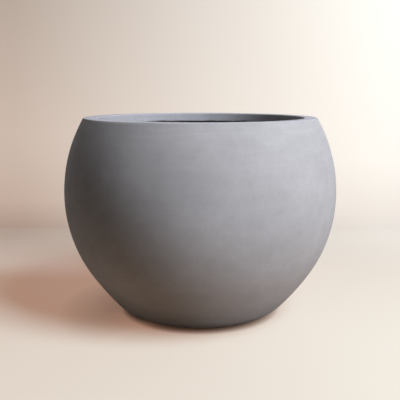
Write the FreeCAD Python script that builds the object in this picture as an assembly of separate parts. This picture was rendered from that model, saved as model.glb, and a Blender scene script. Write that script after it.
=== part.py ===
import FreeCAD, Part
import math
import os

# Floor planter: a cast bowl with a turned-in lip, a drain plug and rubber foot pads.
# Millimetres, +Z up. The origin is on the floor, on the axis of the bowl.

# Outside of the bowl: four arcs that run into each other, from the rim down to the foot.
BODY_RADIUS = 305.0
SHOULDER_RISE = 170.0
SHOULDER_INSET = 46.0
BELLY_RADIUS = 311.0
BELLY_SWEEP = 33.2
FLANK_RADIUS = 555.0
FLANK_SWEEP = 9.5
HEEL_RADIUS = 80.0

# Wall, lip and floor of the bowl.
WALL = 14.0
LIP_WIDTH = 28.0
LIP_DEPTH = 21.0
FLOOR_EXTRA = 6.0
FLOOR_FALL = 4.0
FOOT_RING_WIDTH = 36.0
FOOT_RECESS = 5.0

# Rounded edges of the bowl.
RIM_OUTER_ROUND = 2.5
RIM_INNER_ROUND = 2.5
LIP_LOWER_ROUND = 3.0
LIP_ROOT_ROUND = 8.0
FOOT_RING_ROUND = 2.0
DRAIN_EDGE_ROUND = 1.5

# Drain hole, which narrows downwards, and its stopper.
DRAIN_RADIUS = 14.0
DRAIN_TAPER = 1.0
PLUG_CLEARANCE = 0.3
PLUG_END = 2.0
PLUG_END_BEVEL = 2.0
PLUG_FLANGE_OVERLAP = 9.0
PLUG_FLANGE_THICKNESS = 4.0
PLUG_FLANGE_ROUND = 1.5
SEAT_MARGIN = 5.0
GRIP_WAIST_RADIUS = 6.0
GRIP_WAIST_HEIGHT = 7.0
GRIP_BEAD_RADIUS = 10.0
GRIP_BEAD_HEIGHT = 9.0
GRIP_BEAD_ROUND = 3.0

# Foot pads, spread evenly on the middle of the foot ring.
PAD_COUNT = 4
PAD_RADIUS = 11.0
PAD_THICKNESS = 3.0
PAD_BEVEL = 0.8
PAD_FIRST_ANGLE = 45.0

# Angles below the level of the equator, where one outline arc runs into the next.
BELLY_END = math.radians(BELLY_SWEEP)
FLANK_END = math.radians(BELLY_SWEEP + FLANK_SWEEP)
HEEL_END = math.radians(90.0)
SHOULDER_RADIUS = (SHOULDER_RISE ** 2 + SHOULDER_INSET ** 2) / (2.0 * SHOULDER_INSET)

# Levels that follow from the sizes above.
FOOT_Z = PAD_THICKNESS
RECESS_Z = FOOT_Z + FOOT_RECESS
FLOOR_EDGE_Z = FOOT_Z + WALL + FLOOR_EXTRA
SEAT_Z = FLOOR_EDGE_Z - FLOOR_FALL


def xz(x, z):
    return FreeCAD.Vector(x, 0.0, z)


def polar(centre, radius, angle):
    """Point on an outline arc, at an angle below the level of the arc's centre."""
    return centre + xz(radius * math.cos(angle), -radius * math.sin(angle))


def outline_centres():
    """Centres of the shoulder, belly, flank and heel arcs; each arc is tangent to the next."""
    drop = BELLY_RADIUS * math.sin(BELLY_END)
    drop += FLANK_RADIUS * (math.sin(FLANK_END) - math.sin(BELLY_END))
    drop += HEEL_RADIUS * (1.0 - math.sin(FLANK_END))
    equator_z = FOOT_Z + drop
    shoulder = xz(BODY_RADIUS - SHOULDER_RADIUS, equator_z)
    belly = xz(BODY_RADIUS - BELLY_RADIUS, equator_z)
    flank = polar(belly, BELLY_RADIUS - FLANK_RADIUS, BELLY_END)
    heel = polar(flank, FLANK_RADIUS - HEEL_RADIUS, FLANK_END)
    return shoulder, belly, flank, heel


SHOULDER_C, BELLY_C, FLANK_C, HEEL_C = outline_centres()
RIM_Z = SHOULDER_C.z + SHOULDER_RISE
RIM_RADIUS = BODY_RADIUS - SHOULDER_INSET
MOUTH_RADIUS = RIM_RADIUS - LIP_WIDTH
LIP_Z = RIM_Z - LIP_DEPTH
FOOT_RADIUS = HEEL_C.x
RECESS_RADIUS = FOOT_RADIUS - FOOT_RING_WIDTH
DRAIN_EXIT_RADIUS = DRAIN_RADIUS - DRAIN_TAPER
FLANGE_RADIUS = DRAIN_RADIUS + PLUG_FLANGE_OVERLAP
SEAT_RADIUS = FLANGE_RADIUS + SEAT_MARGIN


def arc(centre, radius, start, end):
    points = [polar(centre, radius, start + (end - start) * step / 2.0) for step in range(3)]
    return Part.Arc(*points).toShape()


def bowl_arcs(inset, top_z, heel_end):
    """Arcs of the bowl's outline, inset from the outside, from the level top_z down to heel_end."""
    top_angle = -math.asin((top_z - SHOULDER_C.z) / (SHOULDER_RADIUS - inset))
    return [
        arc(SHOULDER_C, SHOULDER_RADIUS - inset, top_angle, 0.0),
        arc(BELLY_C, BELLY_RADIUS - inset, 0.0, BELLY_END),
        arc(FLANK_C, FLANK_RADIUS - inset, BELLY_END, FLANK_END),
        arc(HEEL_C, HEEL_RADIUS - inset, FLANK_END, heel_end),
    ]


def lines(*points):
    return [Part.makeLine(a, b) for a, b in zip(points, points[1:])]


def turned(edges):
    """Solid turned round the axis from the edges of a closed half outline."""
    outline = Part.Wire(Part.__sortEdges__(edges))
    return Part.Face(outline).revolve(xz(0.0, 0.0), xz(0.0, 1.0), 360.0)


def rings(solid, *places):
    """Round edges of the solid at the given pairs of radius and level."""
    found = []
    for edge in solid.Edges:
        if not isinstance(edge.Curve, Part.Circle):
            continue
        for radius, z in places:
            if abs(edge.Curve.Radius - radius) < 0.01 and abs(edge.Curve.Center.z - z) < 0.01:
                found.append(edge)
    return found


def planter_shell():
    floor_angle = math.asin((HEEL_C.z - FLOOR_EDGE_Z) / (HEEL_RADIUS - WALL))
    outside = bowl_arcs(0.0, RIM_Z, HEEL_END)
    inside = bowl_arcs(WALL, LIP_Z, floor_angle)
    lip_root = inside[0].Vertexes[0].Point
    floor_edge = inside[-1].Vertexes[-1].Point
    lip = lines(
        xz(RIM_RADIUS, RIM_Z),
        xz(MOUTH_RADIUS, RIM_Z),
        xz(MOUTH_RADIUS, LIP_Z),
        lip_root,
    )
    floor_and_foot = lines(
        floor_edge,
        xz(SEAT_RADIUS, SEAT_Z),
        xz(DRAIN_RADIUS, SEAT_Z),
        xz(DRAIN_EXIT_RADIUS, RECESS_Z),
        xz(RECESS_RADIUS, RECESS_Z),
        xz(RECESS_RADIUS, FOOT_Z),
        xz(FOOT_RADIUS, FOOT_Z),
    )
    solid = turned(outside + lip + inside + floor_and_foot)
    solid = solid.makeFillet(RIM_OUTER_ROUND, rings(solid, (RIM_RADIUS, RIM_Z)))
    solid = solid.makeFillet(RIM_INNER_ROUND, rings(solid, (MOUTH_RADIUS, RIM_Z)))
    solid = solid.makeFillet(LIP_LOWER_ROUND, rings(solid, (MOUTH_RADIUS, LIP_Z)))
    solid = solid.makeFillet(LIP_ROOT_ROUND, rings(solid, (lip_root.x, LIP_Z)))
    solid = solid.makeFillet(DRAIN_EDGE_ROUND, rings(solid, (DRAIN_EXIT_RADIUS, RECESS_Z)))
    foot_edges = rings(solid, (RECESS_RADIUS, RECESS_Z), (RECESS_RADIUS, FOOT_Z))
    return solid.makeFillet(FOOT_RING_ROUND, foot_edges)


def drain_plug():
    stem_top = DRAIN_RADIUS - PLUG_CLEARANCE
    stem_foot = DRAIN_EXIT_RADIUS - PLUG_CLEARANCE
    end_z = RECESS_Z - PLUG_END
    flange_z = SEAT_Z + PLUG_FLANGE_THICKNESS
    bead_z = flange_z + GRIP_WAIST_HEIGHT
    top_z = bead_z + GRIP_BEAD_HEIGHT
    solid = turned(lines(
        xz(0.0, end_z),
        xz(stem_foot - PLUG_END_BEVEL, end_z),
        xz(stem_foot, RECESS_Z),
        xz(stem_top, SEAT_Z),
        xz(FLANGE_RADIUS, SEAT_Z),
        xz(FLANGE_RADIUS, flange_z),
        xz(GRIP_WAIST_RADIUS, flange_z),
        xz(GRIP_WAIST_RADIUS, bead_z),
        xz(GRIP_BEAD_RADIUS, bead_z),
        xz(GRIP_BEAD_RADIUS, top_z),
        xz(0.0, top_z),
        xz(0.0, end_z),
    ))
    solid = solid.makeFillet(PLUG_FLANGE_ROUND, rings(solid, (FLANGE_RADIUS, flange_z)))
    bead_edges = rings(solid, (GRIP_BEAD_RADIUS, bead_z), (GRIP_BEAD_RADIUS, top_z))
    return solid.makeFillet(GRIP_BEAD_ROUND, bead_edges)


def foot_pad(angle):
    ring_middle = (FOOT_RADIUS + RECESS_RADIUS) / 2.0
    pad = Part.makeCylinder(PAD_RADIUS, PAD_THICKNESS)
    pad = pad.makeChamfer(PAD_BEVEL, rings(pad, (PAD_RADIUS, 0.0)))
    pad.translate(xz(ring_middle, 0.0))
    pad.rotate(xz(0.0, 0.0), xz(0.0, 1.0), angle)
    return pad


os.makedirs("parts", exist_ok=True)
planter_shell().exportStep("parts/planter_shell.step")
drain_plug().exportStep("parts/drain_plug.step")
for number in range(PAD_COUNT):
    pad_angle = PAD_FIRST_ANGLE + 360.0 * number / PAD_COUNT
    foot_pad(pad_angle).exportStep("parts/foot_pad_%d.step" % (number + 1))
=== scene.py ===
import math

import bpy
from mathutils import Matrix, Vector, noise


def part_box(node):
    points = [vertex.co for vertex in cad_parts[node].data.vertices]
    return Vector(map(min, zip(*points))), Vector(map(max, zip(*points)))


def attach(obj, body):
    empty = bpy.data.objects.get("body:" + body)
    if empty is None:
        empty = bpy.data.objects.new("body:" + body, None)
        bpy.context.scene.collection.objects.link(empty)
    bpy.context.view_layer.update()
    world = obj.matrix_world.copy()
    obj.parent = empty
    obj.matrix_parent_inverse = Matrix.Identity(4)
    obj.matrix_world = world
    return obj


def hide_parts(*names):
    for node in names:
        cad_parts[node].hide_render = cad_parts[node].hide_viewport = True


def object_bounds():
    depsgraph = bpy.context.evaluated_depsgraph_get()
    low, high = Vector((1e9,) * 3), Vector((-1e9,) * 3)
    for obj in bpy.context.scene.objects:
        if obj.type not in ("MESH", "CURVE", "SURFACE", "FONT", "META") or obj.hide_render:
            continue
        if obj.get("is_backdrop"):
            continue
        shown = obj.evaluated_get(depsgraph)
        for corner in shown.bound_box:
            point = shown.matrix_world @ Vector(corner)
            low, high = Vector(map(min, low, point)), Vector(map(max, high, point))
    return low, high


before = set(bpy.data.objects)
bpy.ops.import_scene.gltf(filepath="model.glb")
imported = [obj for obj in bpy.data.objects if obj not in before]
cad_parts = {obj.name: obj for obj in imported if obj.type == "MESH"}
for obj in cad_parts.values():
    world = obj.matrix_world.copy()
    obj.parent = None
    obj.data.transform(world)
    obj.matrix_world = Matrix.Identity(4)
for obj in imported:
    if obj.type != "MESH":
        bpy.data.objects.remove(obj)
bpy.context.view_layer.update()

# Sizes of the bowl in metres, as in the solid model.
BODY_R = 0.305
SHOULDER_RISE = 0.170
SHOULDER_INSET = 0.046
BELLY_R = 0.311
FLANK_R = 0.555
HEEL_R = 0.080
BELLY_END = math.radians(33.2)
FLANK_END = math.radians(42.7)
WALL = 0.014
LIP_WIDTH = 0.028
LIP_DEPTH = 0.021
FOOT_Z = 0.003
RECESS_Z = 0.008
FLOOR_EDGE_Z = 0.023
SEAT_Z = 0.019
FOOT_RING_WIDTH = 0.036
SEAT_R = 0.028
DRAIN_R = 0.014
DRAIN_EXIT_R = 0.013
RIM_OUTER_ROUND = 0.0025
RIM_INNER_ROUND = 0.0025
LIP_LOWER_ROUND = 0.003
LIP_ROOT_ROUND = 0.008
FOOT_RING_ROUND = 0.002
DRAIN_EDGE_ROUND = 0.0015
SHOULDER_R = (SHOULDER_RISE ** 2 + SHOULDER_INSET ** 2) / (2 * SHOULDER_INSET)

# Sizes of the drain stopper, from its stem up to the bead of its grip.
STEM_GAP = 0.0003
STEM_END = 0.002
STEM_BEVEL = 0.002
STEM_END_ROUND = 0.0010
STEM_FOOT_ROUND = 0.0008
STEM_TOP_ROUND = 0.0002
FLANGE_R = 0.023
FLANGE_THICKNESS = 0.004
FLANGE_LOWER_ROUND = 0.0006
FLANGE_UPPER_ROUND = 0.0015
WAIST_R = 0.006
WAIST_HEIGHT = 0.007
WAIST_ROUND = 0.0020
BEAD_R = 0.010
BEAD_HEIGHT = 0.009
BEAD_ROUND = 0.0030
MOULD_SLOPE = 0.0002

# Sizes of the foot pads, which fill the height between the floor and the bowl's foot.
PAD_COUNT = 4
PAD_R = 0.011
PAD_BEVEL = 0.0008
PAD_LOWER_ROUND = 0.0008
PAD_BEVEL_ROUND = 0.0004
PAD_UPPER_ROUND = 0.0002

# Fineness of the meshes: sides round the axis, and the longest step along an outline.
BOWL_SIDES = 288
COARSE = 0.0045
INNER = 0.006
FINE = 0.0009
LIP_STEP = FINE * 2
RIM_STEP = FINE * 3
PLUG_SIDES = 96
PLUG_STEP = 0.0004
PAD_SIDES = 48
PAD_STEP = 0.0003

# Directions on an outline arc, as angles below the level of the arc's centre.
LEVEL = 0.0
DOWN = math.radians(90.0)
INWARD = 2 * DOWN
UP = 3 * DOWN

# Zones of the bowl's surface; each has its own unevenness and finish.
OUTSIDE, RIM, LIP_EDGE, INSIDE, FITTED, UNDERSIDE = range(6)

# Unevenness of each zone: the depth in metres and the scale of its waves, broad ones first.
WAVES = {
    OUTSIDE: ((0.00035, 7.0), (0.00012, 26.0)),
    RIM: ((0.00030, 14.0), (0.00018, 60.0)),
    LIP_EDGE: ((0.0008, 90.0),),
    INSIDE: ((0.0011, 18.0), (0.0006, 55.0)),
    FITTED: (),
    UNDERSIDE: ((0.0003, 40.0),),
}
OUTSIDE_SQUEEZE = 3.0
FOOT_FADE = 0.03
SEAT_FADE = 0.02
TEAR_DEPTH = 0.0045
TEAR_SCALE = 34.0
TEAR_SHIFT = Vector((3.1, 0.0, 0.0))
TEAR_START = 0.12


def polar(centre, radius, angle):
    """Point of a half outline (radius, height), at an angle below the level of an arc's centre."""
    return (centre[0] + radius * math.cos(angle), centre[1] - radius * math.sin(angle))


def arc(centre, radius, start, end, step):
    """Points along an arc, no further apart than a step."""
    count = max(3, math.ceil(abs(radius * (end - start)) / step))
    return [polar(centre, radius, start + (end - start) * i / count) for i in range(count + 1)]


def line(a, b, step):
    """Points along a straight line, no further apart than a step."""
    count = max(1, math.ceil(math.dist(a, b) / step))
    dr, dz = b[0] - a[0], b[1] - a[1]
    return [(a[0] + dr * i / count, a[1] + dz * i / count) for i in range(count + 1)]


def outline_centres():
    """Centres of the shoulder, belly, flank and heel arcs; each arc is tangent to the next."""
    drop = BELLY_R * math.sin(BELLY_END) + FLANK_R * (math.sin(FLANK_END) - math.sin(BELLY_END))
    drop += HEEL_R * (1 - math.sin(FLANK_END))
    equator = FOOT_Z + drop
    shoulder = (BODY_R - SHOULDER_R, equator)
    belly = (BODY_R - BELLY_R, equator)
    flank = polar(belly, BELLY_R - FLANK_R, BELLY_END)
    heel = polar(flank, FLANK_R - HEEL_R, FLANK_END)
    return shoulder, belly, flank, heel


SHOULDER_C, BELLY_C, FLANK_C, HEEL_C = outline_centres()
RIM_Z = SHOULDER_C[1] + SHOULDER_RISE
LIP_Z = RIM_Z - LIP_DEPTH
RIM_R = BODY_R - SHOULDER_INSET
MOUTH_R = RIM_R - LIP_WIDTH
FOOT_R = HEEL_C[0]
RECESS_R = FOOT_R - FOOT_RING_WIDTH


def corner_on_shoulder(level, inset):
    """Centre of a round between the shoulder and a level face, and its angle from the shoulder's centre."""
    reach = SHOULDER_R - inset
    rise = level - SHOULDER_C[1]
    return (SHOULDER_C[0] + math.sqrt(reach ** 2 - rise ** 2), level), -math.asin(rise / reach)


def bowl_outline():
    """Closed half outline as (radius, height, zone) rows: down the outside from the rim, and up inside."""
    rim_c, rim_a = corner_on_shoulder(RIM_Z - RIM_OUTER_ROUND, RIM_OUTER_ROUND)
    root_c, root_a = corner_on_shoulder(LIP_Z - LIP_ROOT_ROUND, WALL + LIP_ROOT_ROUND)
    floor_a = math.asin((HEEL_C[1] - FLOOR_EDGE_Z) / (HEEL_R - WALL))
    floor_edge = polar(HEEL_C, HEEL_R - WALL, floor_a)
    ring_out, ring_in = RECESS_R + FOOT_RING_ROUND, RECESS_R - FOOT_RING_ROUND
    mouth_in, lip_low = MOUTH_R + RIM_INNER_ROUND, MOUTH_R + LIP_LOWER_ROUND
    drain_c = (DRAIN_EXIT_R + DRAIN_EDGE_ROUND, RECESS_Z + DRAIN_EDGE_ROUND)
    stretches = [
        (RIM, arc(rim_c, RIM_OUTER_ROUND, -DOWN, rim_a, FINE)),
        (OUTSIDE, arc(SHOULDER_C, SHOULDER_R, rim_a, LEVEL, COARSE)),
        (OUTSIDE, arc(BELLY_C, BELLY_R, LEVEL, BELLY_END, COARSE)),
        (OUTSIDE, arc(FLANK_C, FLANK_R, BELLY_END, FLANK_END, COARSE)),
        (OUTSIDE, arc(HEEL_C, HEEL_R, FLANK_END, DOWN, COARSE)),
        (FITTED, line((FOOT_R, FOOT_Z), (ring_out, FOOT_Z), INNER)),
        (UNDERSIDE, arc((ring_out, FOOT_Z + FOOT_RING_ROUND), FOOT_RING_ROUND, DOWN, INWARD, FINE)),
        (UNDERSIDE, arc((ring_in, RECESS_Z - FOOT_RING_ROUND), FOOT_RING_ROUND, LEVEL, -DOWN, FINE)),
        (UNDERSIDE, line((ring_in, RECESS_Z), (drain_c[0], RECESS_Z), INNER)),
        (FITTED, arc(drain_c, DRAIN_EDGE_ROUND, DOWN, INWARD, FINE)),
        (FITTED, line((DRAIN_EXIT_R, drain_c[1]), (DRAIN_R, SEAT_Z), INNER)),
        (FITTED, line((DRAIN_R, SEAT_Z), (SEAT_R, SEAT_Z), INNER)),
        (INSIDE, line((SEAT_R, SEAT_Z), floor_edge, INNER)),
        (INSIDE, arc(HEEL_C, HEEL_R - WALL, floor_a, FLANK_END, INNER)),
        (INSIDE, arc(FLANK_C, FLANK_R - WALL, FLANK_END, BELLY_END, INNER)),
        (INSIDE, arc(BELLY_C, BELLY_R - WALL, BELLY_END, LEVEL, INNER)),
        (INSIDE, arc(SHOULDER_C, SHOULDER_R - WALL, LEVEL, root_a, INNER)),
        (INSIDE, arc(root_c, LIP_ROOT_ROUND, root_a, -DOWN, FINE)),
        (LIP_EDGE, line((root_c[0], LIP_Z), (lip_low, LIP_Z), LIP_STEP)),
        (LIP_EDGE, arc((lip_low, LIP_Z + LIP_LOWER_ROUND), LIP_LOWER_ROUND, DOWN, INWARD, FINE)),
        (RIM, line((MOUTH_R, LIP_Z + LIP_LOWER_ROUND), (MOUTH_R, RIM_Z - RIM_INNER_ROUND), LIP_STEP)),
        (RIM, arc((mouth_in, RIM_Z - RIM_INNER_ROUND), RIM_INNER_ROUND, INWARD, UP, FINE)),
        (RIM, line((mouth_in, RIM_Z), (rim_c[0], RIM_Z), RIM_STEP)),
    ]
    rows = []
    for zone, points in stretches:
        rows += [(r, z, zone) for r, z in points[:-1]]
    return rows


def faded(distance, width):
    """0 at no distance, rising evenly to 1 at the width and beyond."""
    return min(1.0, max(0.0, distance / width))


def waves(point, zone):
    return sum(depth * noise.noise(point * scale) for depth, scale in WAVES[zone])


def unevenness(point, zone):
    """How far the hand-made surface stands off the true shape, in metres."""
    if zone == OUTSIDE:
        squeezed = Vector((point.x, point.y, point.z * OUTSIDE_SQUEEZE))
        return faded(point.z - FOOT_Z, FOOT_FADE) * waves(squeezed, zone)
    if zone == LIP_EDGE:
        torn = max(0.0, noise.noise(point * TEAR_SCALE + TEAR_SHIFT) - TEAR_START)
        return waves(point, zone) - TEAR_DEPTH * torn
    if zone == INSIDE:
        return waves(point, zone) * faded(math.hypot(point.x, point.y) - SEAT_R, SEAT_FADE)
    return waves(point, zone)


def row_normals(rows):
    """Outward direction of each row in the half outline."""
    normals = []
    for i in range(len(rows)):
        before, after = rows[i - 1], rows[(i + 1) % len(rows)]
        dr, dz = after[0] - before[0], after[1] - before[1]
        size = math.hypot(dr, dz) or 1.0
        normals.append((-dz / size, dr / size))
    return normals


def new_piece(name, vertices, faces, material):
    mesh = bpy.data.meshes.new(name)
    mesh.from_pydata(vertices, [], faces)
    mesh.update()
    mesh.polygons.foreach_set("use_smooth", [True] * len(mesh.polygons))
    mesh.materials.append(material)
    piece = bpy.data.objects.new(name, mesh)
    bpy.context.scene.collection.objects.link(piece)
    return piece


def band_faces(row_count, sides, closed):
    """Four-sided faces between turned rows; the last row runs on into the first one if closed."""
    faces = []
    for i in range(row_count if closed else row_count - 1):
        a, b = i * sides, ((i + 1) % row_count) * sides
        for j in range(sides):
            k = (j + 1) % sides
            faces.append((a + j, b + j, b + k, a + k))
    return faces


def point_values(piece, name, values):
    attribute = piece.data.attributes.new(name, "FLOAT", "POINT")
    attribute.data.foreach_set("value", values)


def make_bowl(material):
    """Bowl with its unevenness, and with the values that its material reads: inside, lip, and wear with a
    painted highlight on the rim's top.
    """
    rows = bowl_outline()
    vertices, inside, lip, wear_and_light = [], [], [], []
    for (r, z, zone), (nr, nz) in zip(rows, row_normals(rows)):
        for j in range(BOWL_SIDES):
            angle = 2 * math.pi * j / BOWL_SIDES
            c, s = math.cos(angle), math.sin(angle)
            off = unevenness(Vector((r * c, r * s, z)), zone)
            vertices.append(((r + nr * off) * c, (r + nr * off) * s, z + nz * off))
            inside.append(1.0 if zone == INSIDE or (zone == FITTED and r <= SEAT_R) else 0.0)
            lip.append(1.0 if zone == RIM else 0.0)
            # Wear on the rim and a painted highlight, stronger where the rim faces up.
            wear_and_light.append(max(0.0, nz) if zone == RIM else 0.0)
    piece = new_piece("planter_bowl", vertices, band_faces(len(rows), BOWL_SIDES, True), material)
    point_values(piece, "inside", inside)
    point_values(piece, "lip", lip)
    point_values(piece, "wear_and_light", wear_and_light)
    return piece


def turned_piece(name, outline, sides, centre, material):
    """Turned piece, closed above and below; its outline runs from the bottom centre to the top centre."""
    vertices = []
    for r, z in outline[1:-1]:
        for j in range(sides):
            angle = 2 * math.pi * j / sides
            vertices.append((centre[0] + r * math.cos(angle), centre[1] + r * math.sin(angle), z))
    rows = len(outline) - 2
    faces = [tuple(reversed(face)) for face in band_faces(rows, sides, False)]
    low, high = len(vertices), len(vertices) + 1
    vertices += [(centre[0], centre[1], outline[0][1]), (centre[0], centre[1], outline[-1][1])]
    last = (rows - 1) * sides
    for j in range(sides):
        k = (j + 1) % sides
        faces.append((low, k, j))
        faces.append((high, last + j, last + k))
    return new_piece(name, vertices, faces, material)


def rounded(points, step):
    """Outline through (radius, height, round) corners, each with its own round."""
    path = [(points[0][0], points[0][1])]
    for before, here, after in zip(points, points[1:], points[2:]):
        corner = Vector(here[:2])
        to_a, to_b = Vector(before[:2]) - corner, Vector(after[:2]) - corner
        half = to_a.angle(to_b) / 2
        back = here[2] / math.tan(half)
        start, end = corner + to_a.normalized() * back, corner + to_b.normalized() * back
        count = max(2, math.ceil((math.pi - 2 * half) * here[2] / step))
        for i in range(count + 1):
            t = i / count
            mid = start.lerp(corner, t).lerp(corner.lerp(end, t), t)
            path.append((mid.x, mid.y))
    path.append((points[-1][0], points[-1][1]))
    return path


def plug_corners():
    """Corners of the stopper's half outline as (radius, height, round), from the bottom up."""
    end_z = RECESS_Z - STEM_END
    foot_r, top_r = DRAIN_EXIT_R - STEM_GAP, DRAIN_R - STEM_GAP
    flange_z = SEAT_Z + FLANGE_THICKNESS
    bead_z = flange_z + WAIST_HEIGHT
    grip_z = bead_z + BEAD_HEIGHT
    return [
        (0.0, end_z, 0.0),
        (foot_r - STEM_BEVEL, end_z, STEM_END_ROUND),
        (foot_r, RECESS_Z, STEM_FOOT_ROUND),
        (top_r, SEAT_Z, STEM_TOP_ROUND),
        (FLANGE_R, SEAT_Z, FLANGE_LOWER_ROUND),
        (FLANGE_R, flange_z, FLANGE_UPPER_ROUND),
        (WAIST_R, flange_z + MOULD_SLOPE, WAIST_ROUND),
        (WAIST_R, bead_z, WAIST_ROUND),
        (BEAD_R, bead_z + MOULD_SLOPE, BEAD_ROUND),
        (BEAD_R, grip_z, BEAD_ROUND),
        (0.0, grip_z, 0.0),
    ]


def pad_corners():
    """Corners of a foot pad's half outline as (radius, height, round), from the bottom up."""
    return [
        (0.0, 0.0, 0.0),
        (PAD_R - PAD_BEVEL, 0.0, PAD_LOWER_ROUND),
        (PAD_R, PAD_BEVEL, PAD_BEVEL_ROUND),
        (PAD_R, FOOT_Z, PAD_UPPER_ROUND),
        (0.0, FOOT_Z, 0.0),
    ]


# Sockets for colours on a Mix node, which has others for numbers and vectors.
MIX_FACTOR, MIX_A, MIX_B, MIX_RESULT = 0, 6, 7, 2

# Rays that find the openness at a point, and the plain ranges of a value.
OPENNESS_SAMPLES = 16
WHOLE = (0.0, 1.0)
FALLING = (1.0, 0.0)


class Nodes:
    """Short ways to add nodes to the tree of a material or of the world."""

    def __init__(self, owner):
        owner.use_nodes = True
        self.owner = owner
        self.tree = owner.node_tree
        self.shader = self.tree.nodes.get("Principled BSDF")

    def add(self, kind, inputs=(), **settings):
        """New node; an input is linked if it is a socket of another node, and otherwise set."""
        node = self.tree.nodes.new(kind)
        for key, value in settings.items():
            setattr(node, key, value)
        for key, value in dict(inputs).items():
            if isinstance(value, bpy.types.NodeSocket):
                self.tree.links.new(value, node.inputs[key])
            else:
                node.inputs[key].default_value = value
        return node

    def link(self, socket, target):
        self.tree.links.new(socket, target)

    def coords(self, stretch=(1.0, 1.0, 1.0)):
        place = self.add("ShaderNodeTexCoord").outputs["Object"]
        return self.add("ShaderNodeMapping", {"Vector": place, "Scale": stretch}).outputs["Vector"]

    def noise(self, vector, scale, detail=3.0, rough=0.5):
        inputs = {"Vector": vector, "Scale": scale, "Detail": detail, "Roughness": rough}
        return self.add("ShaderNodeTexNoise", inputs).outputs["Fac"]

    def math(self, operation, a, b, clamp=False):
        return self.add("ShaderNodeMath", {0: a, 1: b}, operation=operation, use_clamp=clamp).outputs[0]

    def ranged(self, value, span, to=WHOLE):
        """Runs between the two numbers of to while the value runs through the span."""
        inputs = {"Value": value, "From Min": span[0], "From Max": span[1], "To Min": to[0], "To Max": to[1]}
        return self.add("ShaderNodeMapRange", inputs).outputs["Result"]

    def mix(self, factor, a, b, blend="MIX"):
        inputs = {MIX_FACTOR: factor, MIX_A: a, MIX_B: b}
        return self.add("ShaderNodeMix", inputs, data_type="RGBA", blend_type=blend).outputs[MIX_RESULT]

    def bump(self, height, strength, distance):
        inputs = {"Strength": strength, "Distance": distance, "Height": height}
        self.link(self.add("ShaderNodeBump", inputs).outputs["Normal"], self.shader.inputs["Normal"])

    def openness(self, reach):
        inputs = {"Distance": reach}
        return self.add("ShaderNodeAmbientOcclusion", inputs, samples=OPENNESS_SAMPLES).outputs["AO"]

    def value_of(self, name):
        return self.add("ShaderNodeAttribute", attribute_name=name).outputs["Fac"]

    def seen_directly(self):
        """1 where the camera, a reflection or a clear material shows the surface, and otherwise 0."""
        rays = self.add("ShaderNodeLightPath").outputs
        bent = self.math("MAXIMUM", rays["Is Glossy Ray"], rays["Is Transmission Ray"])
        return self.math("MAXIMUM", rays["Is Camera Ray"], bent)


def paint(name):
    return Nodes(bpy.data.materials.new(name))


def grey(level, warm=0.0):
    return (level * (1 + warm), level, level * (1 - warm), 1.0)


# Cement: its colours, and how strongly each noise shows.
CEMENT_DARK = (0.465, 0.470, 0.512, 1.0)
CEMENT_LIGHT = (0.570, 0.575, 0.624, 1.0)
CEMENT_STAIN = (0.405, 0.405, 0.435, 1.0)
CEMENT_STREAK = (0.590, 0.595, 0.640, 1.0)
CEMENT_SAND = (0.360, 0.360, 0.380, 1.0)
# Paler tone for the rim's wear and its painted highlight.
CEMENT_WEAR_AND_LIGHT = (0.62, 0.62, 0.67, 1.0)
LIP_TONE = (0.95, 0.97, 1.03, 1.0)
# Colour of the painted shade in the pores.
PORE_SHADE_COLOUR = grey(0.16, warm=0.03)
RAW_DARK = grey(0.23, warm=0.03)
RAW_LIGHT = grey(0.34, warm=0.03)
MOST = (0.3, 0.7)
STAINED = (0.3, 0.75)
STREAKED = (0.45, 0.8)
SANDY = (0.35, 0.75)
BLOTCH_STRENGTH = (0.0, 0.50)
FLECK_STRENGTH = (0.0, 0.30)
SAND_STRENGTH = (0.0, 0.18)
BRUSHED_DEPTH = 0.07
BRUSHED_STRENGTH = (0.20, 0.50)
STREAK_SQUEEZE = (1.0, 1.0, 14.0)
WEAR_AND_LIGHT_STRENGTH = (0.45, 0.85)
PORE_SCALE = 95.0
PORE_EDGE = (0.05, 0.085)
PORE_CHOICE = (0.70, 0.72)
PORE_SHADE_STRENGTH = 0.55
CEMENT_ROUGHNESS = (0.74, 0.86)
CEMENT_SHEEN = 0.15
SAND_RELIEF = 0.5
BLOTCH_RELIEF = (0.5, 4.0)


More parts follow.
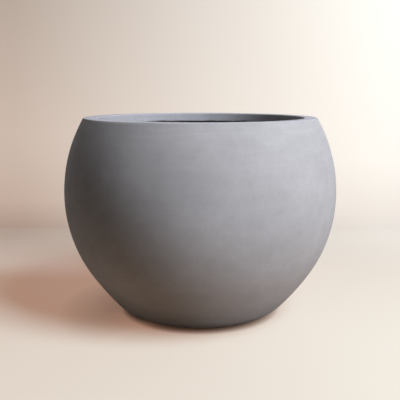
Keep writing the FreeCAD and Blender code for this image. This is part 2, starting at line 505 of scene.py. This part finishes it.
def cement():
    """Brushed, mottled and sandy outside, with pores darkened by painted shade; worn on the rim, with a
    painted highlight where it faces up; raw and darker inside.
    """
    n = paint("cast_cement")
    place = n.coords()
    level = n.add("ShaderNodeSeparateXYZ", {0: place}).outputs["Z"]
    clouds = n.noise(place, scale=7.0, detail=4.0, rough=0.55)
    blotches = n.noise(place, scale=34.0, detail=4.0, rough=0.6)
    flecks = n.noise(place, scale=120.0, detail=3.0, rough=0.6)
    streaks = n.noise(n.coords(STREAK_SQUEEZE), scale=9.0, detail=4.0, rough=0.6)
    sand = n.noise(place, scale=520.0, detail=2.0, rough=0.6)
    colour = n.mix(n.ranged(clouds, MOST), CEMENT_DARK, CEMENT_LIGHT)
    colour = n.mix(n.ranged(blotches, STAINED, BLOTCH_STRENGTH), colour, CEMENT_STAIN)
    colour = n.mix(n.ranged(flecks, STAINED, FLECK_STRENGTH), colour, CEMENT_STAIN)
    brushed = n.ranged(level, (RIM_Z - BRUSHED_DEPTH, RIM_Z), BRUSHED_STRENGTH)
    streak = n.math("MULTIPLY", n.ranged(streaks, STREAKED), brushed)
    colour = n.mix(streak, colour, CEMENT_STREAK)
    colour = n.mix(n.ranged(sand, SANDY, SAND_STRENGTH), colour, CEMENT_SAND)
    # Paler on the rim: wear, and a painted highlight where the rim faces up.
    wear_and_light = n.math("MULTIPLY", n.value_of("wear_and_light"), n.ranged(blotches, MOST, WEAR_AND_LIGHT_STRENGTH))
    colour = n.mix(wear_and_light, colour, CEMENT_WEAR_AND_LIGHT)
    colour = n.mix(n.value_of("lip"), colour, LIP_TONE, "MULTIPLY")
    # Pores: small pits, carved by the bump and darkened with painted shade.
    pores = n.add("ShaderNodeTexVoronoi", {"Vector": place, "Scale": PORE_SCALE})
    dot = n.ranged(pores.outputs["Distance"], PORE_EDGE, FALLING)
    some = n.ranged(pores.outputs["Color"], PORE_CHOICE)
    pore = n.math("MULTIPLY", dot, some, True)
    colour = n.mix(n.math("MULTIPLY", pore, PORE_SHADE_STRENGTH), colour, PORE_SHADE_COLOUR)
    inside = n.value_of("inside")
    raw = n.mix(n.ranged(blotches, MOST), RAW_DARK, RAW_LIGHT)
    n.link(n.mix(inside, colour, raw), n.shader.inputs["Base Color"])
    n.link(n.ranged(blotches, MOST, CEMENT_ROUGHNESS), n.shader.inputs["Roughness"])
    n.shader.inputs["Specular IOR Level"].default_value = CEMENT_SHEEN
    grain = n.math("SUBTRACT", n.math("MULTIPLY", sand, SAND_RELIEF), pore)
    lay = n.math("MULTIPLY", blotches, n.ranged(inside, WHOLE, BLOTCH_RELIEF))
    n.bump(n.math("ADD", grain, lay), strength=0.35, distance=0.0006)
    return n.owner


# Rubber: the dust on it and its finish.
DUST_COLOUR = grey(0.20, warm=0.05)
DUSTY = (0.58, 0.8)
DUST_STRENGTH = (0.0, 0.35)
RUBBER_ROUGHNESS = (0.55, 0.72)


def rubber(name, dark, light):
    n = paint(name)
    place = n.coords()
    cloud = n.noise(place, scale=60.0, detail=3.0)
    grain = n.noise(place, scale=1500.0, detail=2.0)
    specks = n.noise(place, scale=240.0, detail=5.0, rough=0.7)
    colour = n.mix(n.ranged(cloud, MOST), grey(dark), grey(light))
    dust = n.ranged(specks, DUSTY, DUST_STRENGTH)
    n.link(n.mix(dust, colour, DUST_COLOUR), n.shader.inputs["Base Color"])
    n.link(n.ranged(cloud, MOST, RUBBER_ROUGHNESS), n.shader.inputs["Roughness"])
    n.bump(grain, strength=0.25, distance=0.0003)
    return n.owner


# The bowl.
bowl = make_bowl(cement())
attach(bowl, "planter")
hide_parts("planter_shell")

# The drain stopper, on the axis of the bowl.
plug_rubber = rubber("plug_rubber", dark=0.022, light=0.034)
plug_outline = rounded(plug_corners(), PLUG_STEP)
plug = turned_piece("drain_stopper", plug_outline, PLUG_SIDES, (0.0, 0.0), plug_rubber)
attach(plug, "plug")
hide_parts("drain_plug")

# The foot pads, each in the middle of the one that it replaces.
pad_rubber = rubber("pad_rubber", dark=0.04, light=0.055)
pad_outline = rounded(pad_corners(), PAD_STEP)
for number in range(1, PAD_COUNT + 1):
    node = "foot_pad_%d" % number
    low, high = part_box(node)
    centre = ((low.x + high.x) / 2, (low.y + high.y) / 2)
    pad = turned_piece("pad_%d" % number, pad_outline, PAD_SIDES, centre, pad_rubber)
    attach(pad, "planter")
    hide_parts(node)


# Floor and backdrop: pale paper that is cool where the lamp lights it and warm where it doesn't, from a
# painted warm glow; painted shade lies at its edges and round the part's foot.
PAPER = (0.545, 0.67, 0.65, 1.0)
PAPER_DIM = (0.445, 0.515, 0.495, 1.0)
# Colour of the paper in the painted shade round the part's foot.
PAPER_IN_CONTACT_SHADE = (0.40, 0.27, 0.21, 1.0)
# Colours of the painted warm glow, which stands in for warm fill light: left, left behind the shadow, and
# right.
GLOW_LEFT = (0.345, 0.167, 0.102, 1.0)
RETURNED_GLOW_LEFT = (0.430, 0.275, 0.215, 1.0)
GLOW_RIGHT = (0.61, 0.475, 0.425, 1.0)
FLOOR_BOUNCE = (0.54, 0.375, 0.25, 1.0)
WALL_BOUNCE = (0.36, 0.33, 0.31, 1.0)
SEEN_GROUND = (0.80, 0.73, 0.66, 1.0)
BLACK = (0.0, 0.0, 0.0, 1.0)
PAPER_ROUGHNESS = 0.9
PAPER_SHEEN = 0.0
FLOOR_HALF = 6.0
FLOOR_FOOT_DIM = 1.0
WALL_Y = 0.84
WALL_TOP = 3.0
WALL_HALF = 5.0
WALL_FOOT_DIM = 0.75

# Where the paper's painted shade, painted glow and cast light change, in metres from the middle of the
# part's foot.
ACROSS = (-0.65, 0.65)
BEHIND = (0.30, 0.70)
LOWER_WALL = (0.0, 0.25)
WALL_FOOT = (0.0, 0.10)
UPPER_WALL = (0.35, 0.80)
RETURN_STARTS = (0.20, 0.36)
RETURN_ENDS = (0.40, 0.80)
RETURN_SIDE = (-0.40, -0.10)
BOUNCE_FADES = (0.30, 0.90)
PAPER_FADES = (1.45, 3.0)

# How much of the painted warm glow shows: less at the edges, where the paper has painted shade, and more on
# the right from front to back.
EDGE_LEVEL = (1.0, 0.72)
FRONT_TO_BACK = (0.0, 2.0)
RIGHT_LEVEL = (0.22, 1.0)

# Shade on the floor round the foot: how far it reaches, and the way it leans from the main lamp.
CONTACT_REACH = 0.015
SHADE_REACH = 0.14
SHADE_POWER = 2.0
DEEP_REACH = 0.12
DEEP_SHADE = 0.6
FROM_KEY = (-0.8, 0.6, 0.0)
AWAY_FROM_KEY = (0.02, 0.14)


def stage_material(name, lets_light_in, foot_dim):
    """Paper seen from its front only; a lamp behind it reaches the part where lets_light_in is true."""
    n = paint(name)
    place = n.coords()
    xyz = n.add("ShaderNodeSeparateXYZ", {0: place}).outputs
    across = n.ranged(xyz["X"], ACROSS)
    behind = n.ranged(xyz["Y"], BEHIND)
    height = n.ranged(xyz["Z"], LOWER_WALL)

    # Colour that the lamps light, with painted shade on the left along the backdrop's foot and high up.
    foot = n.math("SUBTRACT", behind, n.ranged(xyz["Z"], WALL_FOOT), True)
    foot = n.math("MULTIPLY", foot, foot_dim)
    edge_shade = n.math("MAXIMUM", foot, n.ranged(xyz["Z"], UPPER_WALL))
    paper = n.mix(n.math("MULTIPLY", edge_shade, n.math("SUBTRACT", 1.0, across)), PAPER, PAPER_DIM)

    # Painted warm glow, standing in for warm fill light, from left to right; on the left it is paler behind
    # the shadow, painted light returned from the backdrop.
    starts, ends = n.ranged(xyz["Y"], RETURN_STARTS), n.ranged(xyz["Y"], RETURN_ENDS, FALLING)
    returned = n.math("MULTIPLY", starts, ends)
    returned = n.math("MULTIPLY", returned, n.ranged(xyz["X"], RETURN_SIDE, FALLING))
    left = n.mix(n.ranged(edge_shade, WHOLE, EDGE_LEVEL), BLACK, n.mix(returned, GLOW_LEFT, RETURNED_GLOW_LEFT))
    lighter = n.ranged(n.math("ADD", behind, height), FRONT_TO_BACK, RIGHT_LEVEL)
    glow = n.mix(n.math("MULTIPLY", across, lighter), left, GLOW_RIGHT)

    # Shade round the foot, deeper on the side away from the main lamp.
    touch = n.math("MAXIMUM", n.openness(CONTACT_REACH), behind)
    closed = n.math("SUBTRACT", 1.0, n.math("MAXIMUM", n.openness(DEEP_REACH), behind))
    away = n.add("ShaderNodeVectorMath", {0: place, 1: FROM_KEY}, operation="DOT_PRODUCT").outputs["Value"]
    unlit = n.ranged(away, AWAY_FROM_KEY, (0.0, DEEP_SHADE))
    lit = n.math("SUBTRACT", touch, n.math("MULTIPLY", unlit, closed), True)

    # What is seen: the paper with its painted shade round the foot and its painted warm glow, which fades
    # into the plain ground far away.
    reach = n.add("ShaderNodeVectorMath", {0: place}, operation="LENGTH").outputs["Value"]
    outer = n.ranged(reach, PAPER_FADES)
    n.link(n.mix(outer, n.mix(lit, PAPER_IN_CONTACT_SHADE, paper), BLACK), n.shader.inputs["Base Color"])
    n.shader.inputs["Roughness"].default_value = PAPER_ROUGHNESS
    n.shader.inputs["Specular IOR Level"].default_value = PAPER_SHEEN
    n.link(n.mix(outer, glow, SEEN_GROUND), n.shader.inputs["Emission Color"])
    n.link(lit, n.shader.inputs["Emission Strength"])

    # What it casts on the part: warm light from the floor nearby, and some from the backdrop's left, with
    # painted shade that dims it where the floor is closed in round the foot.
    far = n.ranged(reach, BOUNCE_FADES)
    cast = n.mix(far, FLOOR_BOUNCE, n.mix(height, BLACK, n.mix(across, WALL_BOUNCE, BLACK)))
    near = n.math("MAXIMUM", n.openness(SHADE_REACH), behind)
    cast = n.mix(n.math("POWER", near, SHADE_POWER), BLACK, cast)
    bounce = n.add("ShaderNodeBsdfDiffuse", {"Color": cast}).outputs[0]
    shaders = {0: n.seen_directly(), 1: bounce, 2: n.shader.outputs[0]}
    front = n.add("ShaderNodeMixShader", shaders).outputs[0]

    unseen = n.add("ShaderNodeNewGeometry").outputs["Backfacing"]
    if lets_light_in:
        unseen = n.math("MAXIMUM", unseen, n.add("ShaderNodeLightPath").outputs["Is Shadow Ray"])
    clear = n.add("ShaderNodeBsdfTransparent").outputs[0]
    surface = n.add("ShaderNodeMixShader", {0: unseen, 1: front, 2: clear}).outputs[0]
    n.link(surface, n.tree.nodes["Material Output"].inputs["Surface"])
    return n.owner


ONE_FACE = [(0, 1, 2, 3)]
floor_sides = ((-1, -1), (1, -1), (1, 1), (-1, 1))
floor_corners = [(FLOOR_HALF * x, FLOOR_HALF * y, 0.0) for x, y in floor_sides]
floor_paper = stage_material("floor_paper", False, FLOOR_FOOT_DIM)
floor = new_piece("floor", floor_corners, ONE_FACE, floor_paper)
wall_sides = ((-1, 0.0), (1, 0.0), (1, WALL_TOP), (-1, WALL_TOP))
wall_corners = [(WALL_HALF * x, WALL_Y, z) for x, z in wall_sides]
wall_paper = stage_material("backdrop_paper", True, WALL_FOOT_DIM)
wall = new_piece("backdrop", wall_corners, ONE_FACE, wall_paper)
floor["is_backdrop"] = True
wall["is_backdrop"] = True

# Light: one tall soft lamp from the right, a weak warm one from the left and a low one from behind.
TARGET = Vector((0.0, 0.0, 0.25))
WHITE = (1.0, 1.0, 1.0)
WARM_WHITE = (1.0, 0.93, 0.87)


def area_lamp(name, colour, level, turn, rise, reach, width, height):
    """Soft lamp; its turn to the right of the camera's side and its rise are in degrees.

    At level 1 it shows a white card that faces it as white.
    """
    turn, rise = math.radians(turn), math.radians(rise)
    data = bpy.data.lights.new(name, "AREA")
    data.shape = "ELLIPSE"
    data.size = width
    data.size_y = height
    data.energy = level * (math.pi * reach) ** 2
    data.color = colour
    lamp = bpy.data.objects.new(name, data)
    away = Vector((math.sin(turn) * math.cos(rise), -math.cos(turn) * math.cos(rise), math.sin(rise)))
    lamp.location = TARGET + away * reach
    lamp.rotation_euler = away.to_track_quat("Z", "Y").to_euler()
    bpy.context.scene.collection.objects.link(lamp)


area_lamp("key", WHITE, level=1.27, turn=53.5, rise=37.0, reach=4.0, width=1.8, height=3.8)
area_lamp("left_fill", WARM_WHITE, level=0.055, turn=-85.0, rise=18.0, reach=3.0, width=2.0, height=2.0)
area_lamp("back_fill", WHITE, level=0.35, turn=182.0, rise=2.0, reach=6.0, width=5.0, height=0.6)

# Surround: a trace of warm light; the camera and reflections see the colour of the paper instead.
SURROUND = (1.0, 0.86, 0.74, 1.0)
SURROUND_LEVEL = 0.015

world = bpy.data.worlds.new("surround")
bpy.context.scene.world = world
sky = Nodes(world)
light = sky.add("ShaderNodeBackground", {"Color": SURROUND, "Strength": SURROUND_LEVEL}).outputs[0]
ground = sky.add("ShaderNodeBackground", {"Color": SEEN_GROUND}).outputs[0]
shown = sky.add("ShaderNodeMixShader", {0: sky.seen_directly(), 1: light, 2: ground}).outputs[0]
sky.link(shown, sky.tree.nodes["World Output"].inputs["Surface"])

# Camera at the photograph's place, tilted down a little.
CAMERA_PLACE = (-0.0005, -1.4135, 0.5028)
CAMERA_TILT = 0.1755
CAMERA_LENS = 56.195
SENSOR_WIDTH = 36.0

camera_data = bpy.data.cameras.new("camera")
camera_data.sensor_width = SENSOR_WIDTH
camera_data.lens = CAMERA_LENS
camera = bpy.data.objects.new("camera", camera_data)
camera.location = CAMERA_PLACE
camera.rotation_euler = (math.pi / 2 - CAMERA_TILT, 0.0, 0.0)
bpy.context.scene.collection.objects.link(camera)
bpy.context.scene.camera = camera
bpy.context.scene.view_settings.view_transform = "Standard"

low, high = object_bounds()
